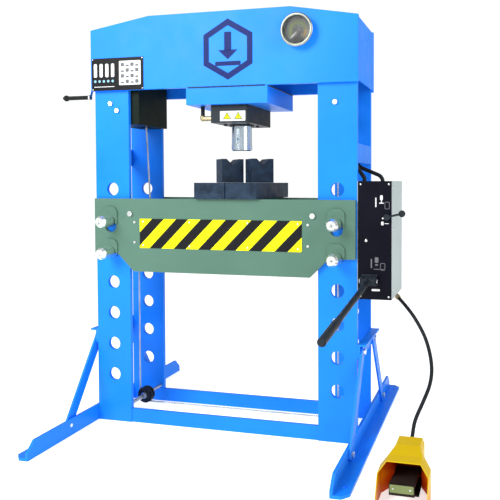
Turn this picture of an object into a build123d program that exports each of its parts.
"""H-frame shop press: two pairs of flat uprights, a twin-plate head, a pinned table and a foot-operated pump.

Millimetres, +Z up, +X to the right and -Y to the operator. The origin is on the floor, midway between the
uprights and midway through the frame's depth. Each piece is written to parts/NAME.step.
"""
from build123d import *
import math
import os

# ---- driving dimensions ------------------------------------------------------------------------
COLUMN_CENTRES = 1120      # between the two columns' centre lines
UPRIGHT_WIDTH = 180        # width of each flat upright
PLATE = 20                 # thickness of uprights, head plates and table plates
FRAME_DEPTH = 320          # over the outer faces of front and rear uprights
UPRIGHT_HEIGHT = 1870
HOLE_PITCH = 150           # between table pin holes
FIRST_HOLE = 230           # height of the lowest pin hole
HOLE_COUNT = 7
HOLE_DIA = 62
PIN_DIA = 56
PIN_SEAT_GAP = 0.3         # between a pin and what it carries or rests on
FIT = 0.1                  # radial clearance of shafts and sliding rods
PLAY = 0.5                 # clearance of plates that slide past each other

HEAD_BOTTOM = 1600
HEAD_END_HEIGHT = 290      # of the head plates at their ends
HEAD_MID_HEIGHT = 342      # of the head plates over their flat middle
HEAD_OVERHANG = 8          # head plates past the uprights at each end
HEAD_CHAMFER_RUN = 308

PRESS_X = 42               # the cylinder stands a little right of the middle
RAM_DIA = 97
RAM_TIP = 1313             # lowest point of the ram nose at rest
NOSE_HEIGHT = 32
CYLINDER_OD = 190
CYLINDER_BORE = 140
CYLINDER_HEAD_GAP = 112    # from the top of the barrel to the top of the head
PISTON_HEIGHT = 50
PISTON_DROP = 185          # from the top of the barrel to the underside of the piston at rest
CYLINDER_CAP = 20
GLAND_HEIGHT = 40
MOUNT_BOX_WIDTH = 400
MOUNT_BOX_HEIGHT = 80
BLOCK_WIDTH = 184
BLOCK_DEPTH = 300
BLOCK_HEIGHT = 82

TABLE_OVER_PIN = 105       # table top above the upper pin holes
TABLE_UNDER_PIN = 92       # table's deep middle below the lower pin holes
TABLE_TAB_DROP = 6         # table's end tabs below the centres of the lower pin holes
TABLE_END_GAP = 5          # the table stops this far short of the columns' outer edges
TABLE_LIFT = 20            # how far the winch lifts the table off its pins
TABLE_PIN_ROWS = (4, 5)    # the pin holes that the table stands on
PANEL_MARGIN_X = 68        # hazard panel short of the columns' inner edges
PANEL_MARGIN_LOW = 113
PANEL_MARGIN_HIGH = 95
BAR_WIDTH = 152
BAR_HEIGHT = 75
BAR_FRONT = 200
BAR_REAR = 240
BAR_GAP = 3
V_BLOCK_SIZE = 108
V_BLOCK_HEIGHT = 115
V_BLOCK_NOTCH = 30         # depth of the V, and half its width
V_BLOCK_TURN = 40          # degrees about Z
V_BLOCK_Y = 30

FOOT_LENGTH = 1270
FOOT_FLANGE = 72           # width of the flange on the floor
FOOT_WEB = 75              # height of the flange against the column
FOOT_THICK = 12
ANCHOR_DIA = 22
ANCHOR_SPACING_Y = 1120
BRACE_WIDTH = 50
BRACE_THICK = 10

ROPE_DIA = 8
PULLEY_RADIUS = 34         # to the centre line of the rope
DRUM_RADIUS = 36           # to the centre line of the rope

CABINET_WIDTH = 153
CABINET_DEPTH = 300
CABINET_BOTTOM = 650
CABINET_TOP = 1168
SHEET = 3                  # sheet metal of the cabinet

# ---- sizes worked out from them ----------------------------------------------------------------
COLUMN_X = COLUMN_CENTRES / 2
OUTER_X = COLUMN_X + UPRIGHT_WIDTH / 2
INNER_X = COLUMN_X - UPRIGHT_WIDTH / 2
OUTER_Y = FRAME_DEPTH / 2
INNER_Y = OUTER_Y - PLATE
FACE_Y = OUTER_Y + PLATE            # outer face of head and table plates
HEAD_SHOULDER = HEAD_BOTTOM + HEAD_END_HEIGHT
HEAD_TOP = HEAD_BOTTOM + HEAD_MID_HEIGHT
HEAD_END_X = OUTER_X + HEAD_OVERHANG
CYLINDER_TOP = HEAD_TOP - CYLINDER_HEAD_GAP
HOLE_HEIGHTS = [FIRST_HOLE + HOLE_PITCH * k for k in range(HOLE_COUNT)]
LOWER_PIN_Z, UPPER_PIN_Z = [HOLE_HEIGHTS[k] for k in TABLE_PIN_ROWS]
TABLE_TOP = UPPER_PIN_Z + TABLE_OVER_PIN
TABLE_BOTTOM = LOWER_PIN_Z - TABLE_UNDER_PIN
TABLE_TAB_BOTTOM = LOWER_PIN_Z - TABLE_TAB_DROP
TABLE_FACE_Y = FACE_Y + PLAY        # outer face of the table plates
PIN_DROP = (HOLE_DIA - PIN_DIA) / 2 - PIN_SEAT_GAP
SLOT_DROP = PIN_DROP + (HOLE_DIA - PIN_DIA) / 2 - PIN_SEAT_GAP
BOX_BOTTOM = HEAD_BOTTOM - MOUNT_BOX_HEIGHT
BLOCK_BOTTOM = BOX_BOTTOM - BLOCK_HEIGHT
BAR_TOP = TABLE_TOP + PLAY + BAR_HEIGHT
CABINET_X0 = OUTER_X
CABINET_X1 = OUTER_X + CABINET_WIDTH
CABINET_Y0 = -OUTER_Y
CABINET_Y1 = CABINET_Y0 + CABINET_DEPTH


# ---- helpers -----------------------------------------------------------------------------------
def block(x0, x1, y0, y1, z0, z1):
    """A box between two corners."""
    return Pos((x0 + x1) / 2, (y0 + y1) / 2, (z0 + z1) / 2) * Box(x1 - x0, y1 - y0, z1 - z0)


def rod(x, y, z, along, radius, length):
    """A cylinder that starts at x, y, z and runs a length along X, Y or Z."""
    turn = {"X": Rot(0, 90, 0), "Y": Rot(-90, 0, 0), "Z": Rot(0, 0, 0)}[along]
    return Pos(x, y, z) * turn * Cylinder(radius, length, align=(Align.CENTER, Align.CENTER, Align.MIN))


def straight(start, end, radius):
    """A cylinder between any two points."""
    path = Line(start, end)
    return extrude(Plane(start, z_dir=path % 0) * Circle(radius), path.length)


def plate_xz(points, y0, y1):
    """A plate of the outline points (x, z), between two depths."""
    face = make_face(Polyline(*[(x, y0, z) for x, z in points], close=True))
    return extrude(face, amount=y1 - y0, dir=(0, 1, 0))


def plate_yz(points, x0, x1):
    """A plate of the outline points (y, z), between two places in X."""
    face = make_face(Polyline(*[(x0, y, z) for y, z in points], close=True))
    return extrude(face, amount=x1 - x0, dir=(1, 0, 0))


def hex_bolt(x, y, z, along, direction, across=24, head=10, shank=0, dia=16):
    """A hexagon bolt whose head stands on the face at x, y, z and points along X, Y or Z."""
    turn = {("X", 1): Rot(0, 90, 0), ("X", -1): Rot(0, -90, 0), ("Y", 1): Rot(-90, 0, 0),
            ("Y", -1): Rot(90, 0, 0), ("Z", 1): Rot(0, 0, 0), ("Z", -1): Rot(180, 0, 0)}[along, direction]
    bolt = extrude(RegularPolygon(across / math.sqrt(3), 6), head)
    if shank:
        bolt += Cylinder(dia / 2, shank, align=(Align.CENTER, Align.CENTER, Align.MAX))
    return Pos(x, y, z) * turn * bolt


def tube_along(points, radius, radii):
    """A round bar along straight runs joined by arcs."""
    path = FilletPolyline(*points, radius=radii)
    return sweep(Plane(path @ 0, z_dir=path % 0) * Circle(radius), path=path)


def save(name, *solids):
    """Writes one named piece, or a group of separate solids."""
    shape = solids[0] if len(solids) == 1 else Compound(children=list(solids))
    export_step(shape, f"parts/{name}.step")


def both_sides(make):
    """What make(side) gives for the left and the right side."""
    return [make(side) for side in (-1, 1)]


# ---- frame -------------------------------------------------------------------------------------
def upright(side, face):
    y0 = -OUTER_Y if face < 0 else INNER_Y
    x = side * COLUMN_X
    plate = block(x - UPRIGHT_WIDTH / 2, x + UPRIGHT_WIDTH / 2, y0, y0 + PLATE, 0, UPRIGHT_HEIGHT)
    for z in HOLE_HEIGHTS:
        plate -= rod(x, y0 - 1, z, "Y", HOLE_DIA / 2, PLATE + 2)
    return plate


def make_uprights():
    for side, side_name in ((-1, "left"), (1, "right")):
        for face, face_name in ((-1, "front"), (1, "rear")):
            save(f"{side_name}_{face_name}_upright", upright(side, face))


TIE_HEIGHT = 85
TIE_BOTTOM = HEAD_BOTTOM - 350
TIE_THICK = 8
END_PLATE_INSET = 8        # end plates short of the head plates' lower and upper edges


def tie_plates():
    """Plates between front and rear uprights, at the outer edges of the columns."""
    def tie(side):
        x0, x1 = sorted((side * OUTER_X, side * (OUTER_X - TIE_THICK)))
        return block(x0, x1, -INNER_Y, INNER_Y, TIE_BOTTOM, TIE_BOTTOM + TIE_HEIGHT)
    return both_sides(tie)


def make_head():
    top_x = HEAD_END_X - HEAD_CHAMFER_RUN
    outline = [(-HEAD_END_X, HEAD_BOTTOM), (HEAD_END_X, HEAD_BOTTOM), (HEAD_END_X, HEAD_SHOULDER),
               (top_x, HEAD_TOP), (-top_x, HEAD_TOP), (-HEAD_END_X, HEAD_SHOULDER)]
    save("head_front_plate", plate_xz(outline, -FACE_Y, -OUTER_Y))
    save("head_rear_plate", plate_xz(outline, OUTER_Y, FACE_Y))

    def end_plate(side):
        x0, x1 = sorted((side * OUTER_X, side * HEAD_END_X))
        low, high = HEAD_BOTTOM + END_PLATE_INSET, HEAD_SHOULDER - END_PLATE_INSET
        plate = block(x0, x1, -OUTER_Y, OUTER_Y, low, high)
        if side < 0:
            plate -= rod(x0 - 1, CRANK_Y, CRANK_Z, "X", CRANK_SHAFT / 2 + FIT, HEAD_OVERHANG + 2)
        return plate
    save("column_end_plates", *both_sides(end_plate), *tie_plates())


FOOT_END_HEIGHT = 30       # of the upright flange at its tapered ends
FOOT_TAPER = 45
FOOT_CORNER = 40           # size of the cut across each outer corner of the flange


def foot_outline():
    half = FOOT_LENGTH / 2
    return [(-half, 0), (half, 0), (half, FOOT_END_HEIGHT), (half - FOOT_TAPER, FOOT_WEB),
            (FOOT_TAPER - half, FOOT_WEB), (-half, FOOT_END_HEIGHT)]


BRACE_FOOT_Y = 360
BRACE_TOP_Y = 125
BRACE_FOOT_Z = 46
BRACE_TOP_Z = 408
BRACE_BOLT = 16
BRACE_END = 22             # a brace past its bolts
BRACKET_ABOVE = 30         # the bracket's shelf above its bolts
BRACKET_BELOW = 28


def brace_bolt_points():
    ends = (BRACE_FOOT_Y, BRACE_FOOT_Z), (BRACE_TOP_Y, BRACE_TOP_Z)
    return [(face * y, z) for face in (-1, 1) for y, z in ends]


def cross_holes(shape, side, points):
    """Cuts bolt holes along X through a piece beside the column."""
    for y, z in points:
        shape -= rod(side * OUTER_X - 100, y, z, "X", BRACE_BOLT / 2 + PIN_SEAT_GAP, 200)
    return shape


def foot(side):
    web = plate_yz(foot_outline(), OUTER_X, OUTER_X + FOOT_THICK)
    flange = block(OUTER_X, OUTER_X + FOOT_FLANGE, -FOOT_LENGTH / 2, FOOT_LENGTH / 2, 0, FOOT_THICK)
    for corner in (-1, 1):
        y = corner * FOOT_LENGTH / 2
        wedge = Pos(OUTER_X + FOOT_FLANGE, y, 0) * Rot(0, 0, 45) * Box(FOOT_CORNER, FOOT_CORNER, FOOT_WEB)
        flange -= wedge
        flange -= rod(ANCHOR_X, corner * ANCHOR_SPACING_Y / 2, -1, "Z", ANCHOR_DIA / 2, FOOT_THICK + 2)
    angle = web + flange
    if side < 0:
        angle = mirror(angle, about=Plane.YZ)
    return cross_holes(angle, side, [p for p in brace_bolt_points() if p[1] == BRACE_FOOT_Z])


ANCHOR_X = OUTER_X + FOOT_THICK + 30


def brace(side, face):
    """A flat bar from the foot up to the bracket on the column."""
    y0, z0, y1, z1 = face * BRACE_FOOT_Y, BRACE_FOOT_Z, face * BRACE_TOP_Y, BRACE_TOP_Z
    length = math.hypot(y1 - y0, z1 - z0)
    ux, uz = (y1 - y0) / length, (z1 - z0) / length
    half = BRACE_WIDTH / 2
    low, high = -BRACE_END, length + BRACE_END
    corners = [(low, -half), (low, half), (high, half), (high, -half)]
    points = [(y0 + ux * a - uz * b, z0 + uz * a + ux * b) for a, b in corners]
    x0 = side * (OUTER_X + FOOT_THICK) - (BRACE_THICK if side < 0 else 0)
    bar = plate_yz(points, x0, x0 + BRACE_THICK)
    bar = bar & block(x0, x0 + BRACE_THICK, -FOOT_LENGTH, FOOT_LENGTH, FOOT_THICK + PLAY,
                      BRACE_TOP_Z + BRACKET_ABOVE)
    return cross_holes(bar, side, [(y0, z0), (y1, z1)])


def brace_bracket(side):
    """An angle across the two uprights that takes the tops of the braces."""
    x0, x1 = OUTER_X, OUTER_X + FOOT_THICK
    shelf = BRACE_TOP_Z + BRACKET_ABOVE
    angle = block(x0, x1, -OUTER_Y, OUTER_Y, BRACE_TOP_Z - BRACKET_BELOW, shelf)
    angle += block(x0, x1 + BRACE_THICK + 18, -OUTER_Y, OUTER_Y, shelf, shelf + 8)
    if side < 0:
        angle = mirror(angle, about=Plane.YZ)
    return cross_holes(angle, side, [p for p in brace_bolt_points() if p[1] == BRACE_TOP_Z])


def make_feet():
    save("left_foot", foot(-1))
    save("right_foot", foot(1))
    save("foot_braces", *[brace(side, face) for side in (-1, 1) for face in (-1, 1)])
    save("brace_brackets", *both_sides(brace_bracket))


BASE_BEAM_HEIGHT = 66
BASE_BEAM_THICK = 16
HEAD_BOLTS = ((-COLUMN_X - 4, 60), (-COLUMN_X + 30, 94), (COLUMN_X - 10, 84))   # x, and drop below the head


def make_base_beams():
    """Flat bars on edge between the columns, at floor level."""
    def beam(face):
        y = face * (INNER_Y + BASE_BEAM_THICK / 2)
        return block(-INNER_X, INNER_X, y - BASE_BEAM_THICK / 2, y + BASE_BEAM_THICK / 2, 0, BASE_BEAM_HEIGHT)
    save("base_beams", *both_sides(beam))


def make_frame_bolts():
    bolts = []
    for side in (-1, 1):
        face_x = side * (OUTER_X + FOOT_THICK + BRACE_THICK)
        for y, z in brace_bolt_points():
            bolts.append(hex_bolt(face_x, y, z, "X", side, shank=FOOT_THICK + BRACE_THICK, dia=BRACE_BOLT))
    for x, below_head in HEAD_BOLTS:
        bolts.append(hex_bolt(x, -OUTER_Y, HEAD_BOTTOM - below_head, "Y", -1, across=21, head=8))
    save("frame_bolts", *bolts)


# ---- cylinder ----------------------------------------------------------------------------------
SUPPLY_PORT = (-108, -110)          # where the supply hose comes down through the mount box
HOSE_DIA = 18
RETURN_PORT_Z = CYLINDER_TOP - 40


def make_cylinder():
    wall = 20
    x0, x1 = PRESS_X - MOUNT_BOX_WIDTH / 2, PRESS_X + MOUNT_BOX_WIDTH / 2
    box = block(x0, x1, -FACE_Y, FACE_Y, BOX_BOTTOM, HEAD_BOTTOM)
    box -= block(x0 + wall, x1 - wall, wall - FACE_Y, FACE_Y - wall, BOX_BOTTOM + wall, HEAD_BOTTOM - wall)
    box -= rod(PRESS_X, 0, BOX_BOTTOM - 1, "Z", CYLINDER_OD / 2 + PIN_SEAT_GAP, MOUNT_BOX_HEIGHT + 2)
    box -= rod(*SUPPLY_PORT, BOX_BOTTOM - 1, "Z", HOSE_DIA / 2 + 3, MOUNT_BOX_HEIGHT + 2)
    save("cylinder_mount_box", box)

    half = BLOCK_WIDTH / 2
    clamp = block(PRESS_X - half, PRESS_X + half, -BLOCK_DEPTH / 2, BLOCK_DEPTH / 2, BLOCK_BOTTOM, BOX_BOTTOM)
    clamp = chamfer(clamp.edges().filter_by(Axis.Z), 4)
    clamp -= rod(PRESS_X, 0, BLOCK_BOTTOM - 1, "Z", RAM_DIA / 2 + PLAY, BLOCK_HEIGHT + 2)
    save("cylinder_clamp_block", clamp)

    barrel = rod(PRESS_X, 0, BOX_BOTTOM, "Z", CYLINDER_OD / 2, CYLINDER_TOP - BOX_BOTTOM)
    bore_depth = CYLINDER_TOP - BOX_BOTTOM - CYLINDER_CAP
    barrel -= rod(PRESS_X, 0, BOX_BOTTOM - 1, "Z", CYLINDER_BORE / 2, bore_depth + 1)
    barrel -= rod(PRESS_X, 0, RETURN_PORT_Z, "X", 6, CYLINDER_OD)
    save("cylinder_barrel", barrel)

    ring = rod(PRESS_X, 0, BOX_BOTTOM, "Z", CYLINDER_BORE / 2 - 0.02, GLAND_HEIGHT)
    ring -= rod(PRESS_X, 0, BOX_BOTTOM - 1, "Z", RAM_DIA / 2 + FIT, GLAND_HEIGHT + 2)
    save("rod_gland", ring)

    piston_bottom = CYLINDER_TOP - PISTON_DROP
    ram = rod(PRESS_X, 0, RAM_TIP + NOSE_HEIGHT, "Z", RAM_DIA / 2, piston_bottom - RAM_TIP - NOSE_HEIGHT)
    ram += rod(PRESS_X, 0, piston_bottom, "Z", CYLINDER_BORE / 2 - FIT, PISTON_HEIGHT)
    ram -= rod(PRESS_X, -RAM_DIA, RAM_TIP + NOSE_HEIGHT + 24, "Y", 6, 2 * RAM_DIA)
    save("ram", ram)
    nose = rod(PRESS_X, 0, RAM_TIP, "Z", RAM_DIA / 2 + 1, NOSE_HEIGHT)
    nose = chamfer(nose.edges().filter_by(GeomType.CIRCLE).sort_by(Axis.Z)[0], 4)
    save("ram_nose", nose)


# ---- gauge -------------------------------------------------------------------------------------
GAUGE_X = 390
GAUGE_Z = HEAD_BOTTOM + 229
GAUGE_RADIUS = 74
GAUGE_DEPTH = 40
DIAL_RADIUS = 62
DIAL_THICK = 2
BEZEL_THICK = 6


def make_gauge():
    def disc(radius, y_front, y_back):
        return rod(GAUGE_X, y_front, GAUGE_Z, "Y", radius, y_back - y_front)
    back = -FACE_Y
    front = back - GAUGE_DEPTH
    floor_y = back - 12
    case = disc(GAUGE_RADIUS - 4, front + BEZEL_THICK, back) - disc(DIAL_RADIUS, front, floor_y)
    save("gauge_case", case)
    bezel = disc(GAUGE_RADIUS, front, front + BEZEL_THICK)
    bezel -= disc(DIAL_RADIUS - 4, front - 1, front + BEZEL_THICK + 1)
    bezel = chamfer(bezel.edges().filter_by(GeomType.CIRCLE).group_by(Axis.Y)[0], 2)
    save("gauge_bezel", bezel)
    save("gauge_dial", disc(DIAL_RADIUS - FIT, floor_y - DIAL_THICK, floor_y))
    save("gauge_lens", disc(DIAL_RADIUS - FIT, front + BEZEL_THICK, front + BEZEL_THICK + DIAL_THICK))
    needle_y = floor_y - DIAL_THICK - 4
    tip = DIAL_RADIUS - 16
    needle = rod(GAUGE_X, needle_y - 1, GAUGE_Z, "Y", 5, 5)
    hand = plate_xz([(-3, -12), (3, -12), (1, tip), (-1, tip)], 0, 1.5)
    needle += Pos(GAUGE_X, needle_y, GAUGE_Z) * Rot(0, -135, 0) * hand
    save("gauge_needle", needle)


# ---- table winch and ropes ---------------------------------------------------------------------
MODULE = 4
PINION_TEETH = 12
GEAR_TEETH = 36
DRUM_Y = DRUM_RADIUS                # the rope hangs in the plane y = 0
DRUM_Z = HEAD_BOTTOM + 100
GEAR_CENTRES = MODULE * (PINION_TEETH + GEAR_TEETH) / 2
CRANK_Y = -40
CRANK_Z = DRUM_Z + math.sqrt(GEAR_CENTRES ** 2 - (DRUM_Y - CRANK_Y) ** 2)
CRANK_SHAFT = 20
CRANK_X = -(OUTER_X + 72)           # centre of the crank arm
HOUSING_X0, HOUSING_X1 = -COLUMN_X - 14, 43 - INNER_X
HOUSING_WALL = 4
HOUSING_BOTTOM, HOUSING_TOP = HEAD_BOTTOM - 160, HEAD_BOTTOM + 230
HOUSING_REAR = INNER_Y - 20
GEAR_X = HOUSING_X1 - 35
GEAR_WIDTH = 22
CRANK_REACH = (-60, -176)           # from the crank's axis to its grip, in Y and Z
GRIP_LENGTH = 138
LUG_TOP = TABLE_TOP - 55
WINCH_ROPE_TOP_X = GEAR_X - 24      # where the rope leaves the drum
LUG_X = INNER_X - 16                # where the ropes meet the table


def gear(teeth, y, z, spin, x0, width):
    """A spur gear of stub involute teeth, on an axis along X."""
    pitch_r = MODULE * teeth / 2
    base_r = pitch_r * math.cos(math.radians(20))
    root_r = pitch_r - 1.15 * MODULE
    tip_r = pitch_r + 0.8 * MODULE
    backlash = 0.05 * MODULE

    def roll(radius):
        ratio = max(radius / base_r, 1)
        angle = math.acos(1 / ratio)
        return math.tan(angle) - angle
    half_at_pitch = (math.pi * MODULE / 2 - backlash) / (2 * pitch_r)
    half_at_base = half_at_pitch + roll(pitch_r)
    radii = [base_r + (tip_r - base_r) * k / 5 for k in range(6)]
    flank = [(root_r, half_at_base)] + [(r, half_at_base - roll(r)) for r in radii]
    points = []
    for tooth in range(teeth):
        centre = 2 * math.pi * tooth / teeth + spin
        points += [(r, centre - half) for r, half in flank]
        points += [(r, centre + half) for r, half in reversed(flank)]
    outline = [(y + r * math.cos(a), z + r * math.sin(a)) for r, a in points]
    return plate_yz(outline, x0, x0 + width)


def make_winch():
    shell = block(HOUSING_X0, HOUSING_X1, -INNER_Y, HOUSING_REAR, HOUSING_BOTTOM, HOUSING_TOP)
    w = HOUSING_WALL
    shell -= block(HOUSING_X0 + w, HOUSING_X1 - w, w - INNER_Y, HOUSING_REAR - w,
                   HOUSING_BOTTOM + w, HOUSING_TOP - w)
    shell -= block(HOUSING_X0 + 60, HOUSING_X1 - 20, -20, 20, HOUSING_BOTTOM - 1, HOUSING_BOTTOM + w + 1)
    shell -= rod(HOUSING_X0 - 1, CRANK_Y, CRANK_Z, "X", CRANK_SHAFT / 2 + FIT, 200)
    shell -= rod(HOUSING_X0 - 1, DRUM_Y, DRUM_Z, "X", CRANK_SHAFT / 2 + FIT, 200)
    save("winch_housing", shell)

    barrel_r = DRUM_RADIUS - ROPE_DIA / 2 - PIN_SEAT_GAP
    drum = rod(HOUSING_X0, DRUM_Y, DRUM_Z, "X", CRANK_SHAFT / 2, HOUSING_X1 - HOUSING_X0)
    drum += rod(HOUSING_X0 + 14, DRUM_Y, DRUM_Z, "X", barrel_r, GEAR_X - HOUSING_X0 - 14)
    drum += rod(HOUSING_X0 + 14, DRUM_Y, DRUM_Z, "X", barrel_r + 14, 5)
    mesh_angle = math.atan2(CRANK_Z - DRUM_Z, CRANK_Y - DRUM_Y)
    wheel = gear(GEAR_TEETH, DRUM_Y, DRUM_Z, mesh_angle, GEAR_X, GEAR_WIDTH)
    save("winch_drum", drum + wheel)

    pinion_spin = mesh_angle + math.pi + math.pi / PINION_TEETH
    arm_half = 9
    shaft = rod(CRANK_X, CRANK_Y, CRANK_Z, "X", CRANK_SHAFT / 2, HOUSING_X1 - CRANK_X)
    shaft += gear(PINION_TEETH, CRANK_Y, CRANK_Z, pinion_spin, GEAR_X, GEAR_WIDTH)
    shaft += rod(CRANK_X - arm_half, CRANK_Y, CRANK_Z, "X", 18, 2 * arm_half)
    grip = (CRANK_Y + CRANK_REACH[0], CRANK_Z + CRANK_REACH[1])
    length = math.hypot(*CRANK_REACH)
    uy, uz = (reach / length for reach in CRANK_REACH)
    corners = [(0, -10), (0, 10), (length, 8), (length, -8)]
    arm = plate_yz([(CRANK_Y + uy * a - uz * b, CRANK_Z + uz * a + uy * b) for a, b in corners],
                   CRANK_X - 4, CRANK_X + 4)
    arm += rod(CRANK_X - 4, *grip, "X", 12, 8)
    end_x = CRANK_X - GRIP_LENGTH - 12
    spindle = rod(end_x, *grip, "X", 5, CRANK_X - end_x)
    spindle += rod(end_x - 2, *grip, "X", 7, 2)
    save("winch_crank", shaft + arm + spindle)
    handle = rod(end_x + 6, *grip, "X", 10, GRIP_LENGTH)
    handle += Pos(end_x + 16, *grip) * Sphere(15)
    handle -= rod(end_x - 10, *grip, "X", 5 + FIT, GRIP_LENGTH + 40)
    save("winch_grip", handle)


UPPER_PULLEY_Z = HEAD_BOTTOM - 100
LOWER_PULLEY_Z = 82
PULLEY_X = LUG_X + PULLEY_RADIUS
PULLEY_BORE = 10


def pulley(x, z):
    """A grooved wheel on an axle along Y."""
    rim = PULLEY_RADIUS + 6
    wheel = rod(x, -14, z, "Y", rim, 28)
    groove = rod(x, -5, z, "Y", rim + 1, 10)
    groove -= rod(x, -5, z, "Y", PULLEY_RADIUS - ROPE_DIA / 2 - PIN_SEAT_GAP, 10)
    return wheel - groove - rod(x, -15, z, "Y", PULLEY_BORE + FIT, 30)


def pulley_axle(x, z):
    """An axle across the column, with a collar each side of its pulley."""
    axle = rod(x, -INNER_Y, z, "Y", PULLEY_BORE, 2 * INNER_Y)
    for y in (-26, 14.5):
        axle += rod(x, y, z, "Y", PULLEY_BORE + 6, 11.5)
    return axle


def make_ropes():
    places = {"lower_left_pulley": (-PULLEY_X, LOWER_PULLEY_Z),
              "lower_right_pulley": (PULLEY_X, LOWER_PULLEY_Z),
              "upper_right_pulley": (PULLEY_X, UPPER_PULLEY_Z)}
    for name, (x, z) in places.items():
        save(name, pulley(x, z))
    save("pulley_axles", *[pulley_axle(x, z) for x, z in places.values()])
    save("winch_rope", straight((WINCH_ROPE_TOP_X, 0, DRUM_Z), (-LUG_X, 0, LUG_TOP + PLAY), ROPE_DIA / 2))

    outer, r = PULLEY_X + PULLEY_RADIUS, PULLEY_RADIUS
    slant = r * math.sqrt(0.5)
    low, high = LOWER_PULLEY_Z, UPPER_PULLEY_Z
    arc = Edge.make_three_point_arc
    path = Wire([
        Edge.make_line((-outer, 0, TABLE_BOTTOM + 8), (-outer, 0, low)),
        arc((-outer, 0, low), (-PULLEY_X - slant, 0, low - slant), (-PULLEY_X, 0, low - r)),
        Edge.make_line((-PULLEY_X, 0, low - r), (PULLEY_X, 0, low - r)),
        arc((PULLEY_X, 0, low - r), (PULLEY_X + slant, 0, low - slant), (outer, 0, low)),
        Edge.make_line((outer, 0, low), (outer, 0, high)),
        arc((outer, 0, high), (PULLEY_X, 0, high + r), (LUG_X, 0, high)),
        Edge.make_line((LUG_X, 0, high), (LUG_X, 0, LUG_TOP + PLAY))])
    section = Plane((-outer, 0, TABLE_BOTTOM + 8), z_dir=(0, 0, -1)) * Circle(ROPE_DIA / 2)
    save("levelling_rope", sweep(section, path=path))


# ---- table -------------------------------------------------------------------------------------
WEB_X = INNER_X - 50
SADDLE_WIDTH = 78
SADDLE_THICK = 8
SADDLE_CROWN = 30          # radius of a saddle's upper corners
SPACER_X = 150
SPACER_RADIUS = 22


def pin_slots(shape):
    """Cuts the pin holes of the table, long enough for it to rise off its pins."""
    for side in (-1, 1):
        x = side * COLUMN_X
        for z in (LOWER_PIN_Z, UPPER_PIN_Z):
            centre = z - SLOT_DROP
            for y in (-FACE_Y - 50, OUTER_Y - 50):
                shape -= rod(x, y, centre, "Y", HOLE_DIA / 2, 120)
                shape -= rod(x, y, centre - TABLE_LIFT, "Y", HOLE_DIA / 2, 120)
                shape -= block(x - HOLE_DIA / 2, x + HOLE_DIA / 2, y, y + 120, centre - TABLE_LIFT, centre)
    return shape


def make_table():
    half, tab, mid = OUTER_X - TABLE_END_GAP, COLUMN_X - 35, INNER_X - 33
    outline = [(-half, TABLE_TAB_BOTTOM), (-tab, TABLE_TAB_BOTTOM), (-mid, TABLE_BOTTOM), (mid, TABLE_BOTTOM),
               (tab, TABLE_TAB_BOTTOM), (half, TABLE_TAB_BOTTOM), (half, TABLE_TOP), (-half, TABLE_TOP)]
    save("table_front_plate", pin_slots(plate_xz(outline, -TABLE_FACE_Y, -OUTER_Y - PLAY)))
    save("table_rear_plate", pin_slots(plate_xz(outline, OUTER_Y + PLAY, TABLE_FACE_Y)))

    saddles = []
    for side in (-1, 1):
        for face in (-1, 1):
            y = face * (TABLE_FACE_Y + SADDLE_THICK / 2)
            x0, x1 = side * COLUMN_X - SADDLE_WIDTH / 2, side * COLUMN_X + SADDLE_WIDTH / 2
            for z0, z1 in ((UPPER_PIN_Z - 16, UPPER_PIN_Z + 66), (TABLE_TAB_BOTTOM, LOWER_PIN_Z + 62)):
                pad = block(x0, x1, y - SADDLE_THICK / 2, y + SADDLE_THICK / 2, z0, z1)
                crown = pad.edges().filter_by(Axis.Y).group_by(Axis.Z)[-1]
                saddles.append(pin_slots(fillet(crown, SADDLE_CROWN)))
    save("pin_saddles", *saddles)

    def web(side):
        """A cross plate with the lugs that take the ropes."""
        x0, x1 = WEB_X, WEB_X + 16
        plate = block(x0, x1, -OUTER_Y - PLAY, OUTER_Y + PLAY, TABLE_BOTTOM + 20, TABLE_TOP - 30)
        plate += block(x1, INNER_X - 6, -15, 15, LUG_TOP - 30, LUG_TOP)
        if side < 0:
            plate += block(x1, INNER_X + 78, -15, 15, TABLE_BOTTOM + 8.5, TABLE_BOTTOM + 40)
            plate = mirror(plate, about=Plane.YZ)
        return plate
    spacers = both_sides(lambda side: rod(side * SPACER_X, -OUTER_Y - PLAY, TABLE_BOTTOM + 60, "Y",
                                          SPACER_RADIUS, FRAME_DEPTH + 2 * PLAY))
    save("table_cross_members", *both_sides(web), *spacers)

    panel_x = INNER_X - PANEL_MARGIN_X
    low, high = TABLE_BOTTOM + PANEL_MARGIN_LOW, TABLE_TOP - PANEL_MARGIN_HIGH
    save("hazard_panel", block(-panel_x, panel_x, -TABLE_FACE_Y - 2, -TABLE_FACE_Y, low, high))
    bolts = []
    for side in (-1, 1):
        for z in (low + 27, high - 17):
            bolts.append(rod(side * (panel_x + 28), -TABLE_FACE_Y - 3, z, "Y", 6, 3))
        bolts.append(hex_bolt(side * (panel_x + 50), -TABLE_FACE_Y, high + 23, "Y", -1, head=9))
    save("table_bolts", *bolts)


PIN_FRONT = 90             # how far a pin stands out of the table's front plate
PIN_REAR = 30


def make_pins():
    for side, side_name in ((-1, "left"), (1, "right")):
        for row, row_name in zip(TABLE_PIN_ROWS, ("lower", "upper")):
            x, z = side * COLUMN_X, HOLE_HEIGHTS[row] - PIN_DROP
            length = 2 * FACE_Y + PIN_FRONT + PIN_REAR
            pin = rod(x, -FACE_Y - PIN_FRONT, z, "Y", PIN_DIA / 2, length)
            ends = pin.edges().filter_by(GeomType.CIRCLE).sort_by(Axis.Y)
            pin = chamfer([ends[0], ends[-1]], length=14, length2=8)
            pin -= rod(x, -FACE_Y - PIN_FRONT - 1, z, "Y", 7, 25)
            save(f"{row_name}_{side_name}_pin", pin)


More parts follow.
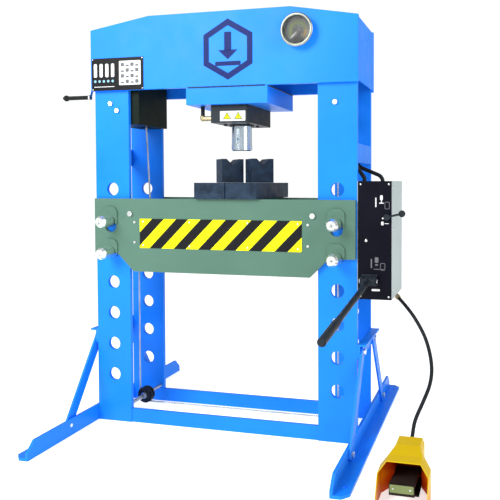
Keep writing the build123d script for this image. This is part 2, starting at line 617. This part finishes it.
def make_tooling():
    for side, name in ((-1, "left"), (1, "right")):
        centre = PRESS_X + side * (BAR_WIDTH + BAR_GAP) / 2
        bar = block(centre - BAR_WIDTH / 2, centre + BAR_WIDTH / 2, -BAR_FRONT, BAR_REAR,
                    TABLE_TOP + PLAY, BAR_TOP)
        bar = chamfer(bar.edges(), 2)
        save(f"{name}_bed_bar", bar)
        half, height = V_BLOCK_SIZE / 2, V_BLOCK_HEIGHT
        notch = V_BLOCK_NOTCH
        outline = [(-half, 0), (half, 0), (half, height), (notch, height), (0, height - notch),
                   (-notch, height), (-half, height)]
        body = plate_xz(outline, -half, half)
        save(f"{name}_v_block", Pos(centre, V_BLOCK_Y, BAR_TOP + PLAY) * Rot(0, 0, V_BLOCK_TURN) * body)


# ---- pump cabinet ------------------------------------------------------------------------------
HANDLE_Y = -OUTER_Y - 30
HANDLE_Z = 735
HANDLE_X = 706
HANDLE_DIA = 25
HANDLE_REACH = 742
HANDLE_FALL = 6            # degrees below level at rest
HANDLE_PIVOT = 16
SLEEVE_LENGTH = 185
PUMP_HEIGHT = 150
MOTOR_HEIGHT = 120
TANK_BOTTOM, TANK_TOP = CABINET_TOP - 208, CABINET_TOP - 58
VALVE_X, VALVE_Z = 785, 1013
SUPPLY_TOP = (672, -110)
RETURN_TOP = (735, 0)


def make_cabinet():
    t = SHEET
    shell = block(CABINET_X0, CABINET_X1, CABINET_Y0, CABINET_Y1, CABINET_BOTTOM, CABINET_TOP)
    shell -= block(CABINET_X0 + t, CABINET_X1 - t, CABINET_Y0 - 1, CABINET_Y1 - t,
                   CABINET_BOTTOM + t, CABINET_TOP - t)
    for x, y in (SUPPLY_TOP, RETURN_TOP):
        shell -= rod(x, y, CABINET_TOP - 10, "Z", HOSE_DIA / 2 + 1, 20)
    save("pump_cabinet", shell)
    panel = block(CABINET_X0 + 4, CABINET_X1, CABINET_Y0 - t, CABINET_Y0, CABINET_BOTTOM, CABINET_TOP)
    panel -= rod(VALVE_X, CABINET_Y0 - 10, VALVE_Z, "Y", 8 + FIT, 20)
    save("cabinet_panel", panel)
    floor_z = CABINET_BOTTOM + t
    pump = block(CABINET_X0 + 20, CABINET_X1 - 20, CABINET_Y0 + 70, CABINET_Y1 - 40,
                 floor_z, floor_z + PUMP_HEIGHT)
    pump += rod(CABINET_X0 + 60, 20, floor_z + PUMP_HEIGHT, "Z", 38, MOTOR_HEIGHT)
    tank = block(CABINET_X0 + t, CABINET_X1 - t, CABINET_Y0 + 100, CABINET_Y1 - t, TANK_BOTTOM, TANK_TOP)
    save("pump_unit", pump, tank)

    half = 34
    ears = block(HANDLE_X - half, HANDLE_X + half, HANDLE_Y + 20, CABINET_Y0 - t,
                 HANDLE_Z - 26, HANDLE_Z + 26)
    for x in (HANDLE_X - half, HANDLE_X + half - 10):
        ears += block(x, x + 10, HANDLE_Y - 16, HANDLE_Y + 20, HANDLE_Z - 18, HANDLE_Z + 18)
    ears -= rod(HANDLE_X - 60, HANDLE_Y, HANDLE_Z, "X", HANDLE_PIVOT / 2, 120)
    pivot = rod(HANDLE_X - 38, HANDLE_Y, HANDLE_Z, "X", HANDLE_PIVOT / 2, 76)
    save("handle_bracket", ears + pivot)

    hub_half = 23.5
    hub = rod(HANDLE_X - hub_half, HANDLE_Y, HANDLE_Z, "X", 17, 2 * hub_half)
    fall = math.radians(HANDLE_FALL)
    reach = (0, -math.cos(fall), -math.sin(fall))
    end = (HANDLE_X, HANDLE_Y + reach[1] * HANDLE_REACH, HANDLE_Z + reach[2] * HANDLE_REACH)
    lever = hub + straight((HANDLE_X, HANDLE_Y, HANDLE_Z), end, HANDLE_DIA / 2)
    lever -= rod(HANDLE_X - 60, HANDLE_Y, HANDLE_Z, "X", HANDLE_PIVOT / 2 + FIT, 120)
    bare = HANDLE_REACH - SLEEVE_LENGTH
    start = (HANDLE_X, HANDLE_Y + reach[1] * bare, HANDLE_Z + reach[2] * bare)
    tip = (HANDLE_X, end[1] + reach[1] * 3, end[2] + reach[2] * 3)
    sleeve = straight(start, tip, 15.5) - straight(start, end, HANDLE_DIA / 2)
    save("pump_handle", lever, sleeve)

    knob_x, knob_z = VALVE_X + 66, VALVE_Z + 15
    valve_y = CABINET_Y0 - t - 22
    valve = rod(VALVE_X, valve_y - 6, VALVE_Z, "Y", 8, 60) + rod(VALVE_X, valve_y - 8, VALVE_Z, "Y", 13, 16)
    valve += straight((VALVE_X, valve_y, VALVE_Z), (knob_x, valve_y, knob_z), 4.5)
    knob = Pos(knob_x, valve_y, knob_z) * Sphere(15)
    save("valve_lever", valve - knob, knob)


def pressure_hoses():
    """Two hoses from the cabinet, up inside the right column and along the head; returns their fittings."""
    r = HOSE_DIA / 2
    rise_z = HEAD_BOTTOM + 100
    supply_z = BLOCK_BOTTOM + 24
    x, y = SUPPLY_TOP
    supply = tube_along([(x, y, CABINET_TOP - 30), (x, y, CABINET_TOP + 14),
                         (x - 60, y, CABINET_TOP + 100), (x - 60, y, rise_z),
                         (SUPPLY_PORT[0], y, rise_z), (SUPPLY_PORT[0], y, supply_z + 12)],
                        r, [24, 60, 90, 90])
    x, y = RETURN_TOP
    port_x = PRESS_X + CYLINDER_OD / 2 + 25
    ret = tube_along([(x, y, CABINET_TOP - 30), (x, y, CABINET_TOP + 20), (x - 135, y, CABINET_TOP + 76),
                      (x - 135, y, RETURN_PORT_Z), (port_x, y, RETURN_PORT_Z)], r, [36, 70, 90])
    save("pressure_hoses", supply, ret)
    elbow = Pos(SUPPLY_PORT[0], SUPPLY_PORT[1], supply_z) * Sphere(12)
    elbow += rod(*SUPPLY_PORT, supply_z, "Z", 12, 12)
    elbow += rod(*SUPPLY_PORT, supply_z, "X", 11, PRESS_X - BLOCK_WIDTH / 2 - SUPPLY_PORT[0])
    nipple = rod(PRESS_X + CYLINDER_OD / 2, 0, RETURN_PORT_Z, "X", 13, 25)
    nipple -= Pos(PRESS_X, 0, 0) * Cylinder(CYLINDER_OD / 2, 4 * HEAD_TOP)
    return [elbow, nipple]


# ---- foot valve --------------------------------------------------------------------------------
GUARD_X = 920
GUARD_FRONT, GUARD_REAR = -690, -400
CROWN_FRONT = -605         # the mouth leans back from the floor to here
GUARD_SHEET = 3
NECK_FRONT, HOOD_REAR = -480, -550  # the guard widens between these two places
NECK = (55, 46, 138, 160)           # half width, half crown, shoulder height and height of the narrow rear
HOOD = (94, 63, 110, 150)           # the same of the hood over the foot
TREADLE_Y, TREADLE_Z = -428, 40
TREADLE_HALF = 46
TREADLE_LENGTH = 214
TREADLE_LIP = 8            # thickness of the lip at the toe
VALVE_EAR = 4                       # thickness of the ears that hold the treadle's axle
FOOT_HOSE_DIA = 16
FOOT_HOSE = [(812, -8, 632), (852, -30, 598), (900, -60, 545), (950, -100, 470), (980, -160, 380),
             (980, -220, 318), (955, -275, 258), (925, -320, 195), (920, -345, 150), (920, -392, 118)]


def arch(shape, inset, y):
    """The section of the guard at one place, drawn in by an inset."""
    half, crown, shoulder, top = shape
    half, crown, top = half - inset, crown - 0.4 * inset, top - inset
    outline = [(-half, 0), (-half, shoulder), (-crown, top), (crown, top), (half, shoulder), (half, 0)]
    return make_face(Polyline(*[(GUARD_X + x, y, z) for x, z in outline], close=True))


def guard_space(inset, front, rear):
    """What the guard encloses: a narrow neck that widens to the hood."""
    space = loft([arch(NECK, inset, rear), arch(NECK, inset, NECK_FRONT)], ruled=True)
    space += loft([arch(NECK, inset, NECK_FRONT), arch(HOOD, inset, HOOD_REAR)], ruled=True)
    return space + loft([arch(HOOD, inset, HOOD_REAR), arch(HOOD, inset, front)], ruled=True)


def unit(a, b):
    length = math.dist(a, b)
    return tuple((q - p) / length for p, q in zip(a, b))


def make_foot_valve():
    guard = guard_space(0, GUARD_FRONT, GUARD_REAR)
    guard -= guard_space(GUARD_SHEET, GUARD_FRONT - 1, GUARD_REAR - GUARD_SHEET)
    half, top = HOOD[0] + 1, HOOD[3]
    leaning = [(GUARD_FRONT - 1, 0), (GUARD_FRONT, 0), (CROWN_FRONT, top), (CROWN_FRONT, top + 1),
               (GUARD_FRONT - 1, top + 1)]
    guard -= plate_yz(leaning, GUARD_X - half, GUARD_X + half)
    save("foot_guard", guard)
    plate = 5
    inside = GUARD_REAR - GUARD_SHEET
    reach = TREADLE_HALF + PLAY + VALVE_EAR
    body = block(GUARD_X - reach, GUARD_X + reach, HOOD_REAR, inside, 0, plate)
    body += block(GUARD_X - 30, GUARD_X + 30, TREADLE_Y - 12, inside, plate, 24)
    for x in (GUARD_X - reach, GUARD_X + reach - VALVE_EAR):
        body += block(x, x + VALVE_EAR, TREADLE_Y - 12, TREADLE_Y + 12, plate, TREADLE_Z + 12)
    body += rod(GUARD_X - reach, TREADLE_Y, TREADLE_Z, "X", 6, 2 * reach)
    save("foot_valve_body", body)
    x0, x1 = GUARD_X - TREADLE_HALF, GUARD_X + TREADLE_HALF
    toe, heel = TREADLE_Y - TREADLE_LENGTH, TREADLE_Y - 8
    tread = plate_yz([(toe, 78), (heel, 46), (heel, 54), (toe, 88)], x0, x1)
    tread += plate_yz([(toe, 88), (toe - TREADLE_LIP, 88), (toe - TREADLE_LIP, 48), (toe, 48)], x0, x1)
    tread += rod(x0, TREADLE_Y, TREADLE_Z, "X", 14, 2 * TREADLE_HALF)
    tread += block(x0, x1, TREADLE_Y - 12, TREADLE_Y, TREADLE_Z + 6, TREADLE_Z + 12)
    tread -= rod(GUARD_X - 60, TREADLE_Y, TREADLE_Z, "X", 6 + FIT, 120)
    save("foot_treadle", tread)

    radii = []
    for before, point, after in zip(FOOT_HOSE, FOOT_HOSE[1:], FOOT_HOSE[2:]):
        turn = Vector(*unit(before, point)).get_angle(Vector(*unit(point, after)))
        run = min(math.dist(before, point), math.dist(point, after))
        radii.append(0.45 * run / math.tan(math.radians(turn / 2)))
    print("foot hose radii", [round(r) for r in radii])
    hose = tube_along(FOOT_HOSE, FOOT_HOSE_DIA / 2, radii)
    path = FilletPolyline(*FOOT_HOSE, radius=radii)
    area = math.pi * FOOT_HOSE_DIA ** 2 / 4
    print("foot hose length", round(path.length), "volume ratio", round(hose.volume / area / path.length, 4))
    save("foot_hose", hose)


def foot_hose_glands():
    """The fittings under the cabinet and on the back of the guard, in line with the ends of the hose."""
    out = unit(FOOT_HOSE[1], FOOT_HOSE[0])
    inner = tuple(p + 34 * d for p, d in zip(FOOT_HOSE[0], out))
    top = straight(inner, FOOT_HOSE[0], 12) & block(0, 2000, -400, 400, 0, CABINET_BOTTOM)
    top += block(CABINET_X1 - 34, CABINET_X1 - 4, -14, 18, CABINET_BOTTOM - 12, CABINET_BOTTOM)
    into = unit(FOOT_HOSE[-2], FOOT_HOSE[-1])
    beyond = tuple(p + 34 * d for p, d in zip(FOOT_HOSE[-1], into))
    bottom = straight(FOOT_HOSE[-1], beyond, 12) & block(0, 2000, GUARD_REAR, 0, 0, 2000)
    return [top, bottom]


# ---- build -------------------------------------------------------------------------------------
os.makedirs("parts", exist_ok=True)
make_uprights()
make_head()
make_feet()
make_base_beams()
make_frame_bolts()
make_cylinder()
make_gauge()
make_winch()
make_ropes()
make_table()
make_pins()
make_tooling()
make_cabinet()
make_foot_valve()
save("hose_fittings", *pressure_hoses(), *foot_hose_glands())
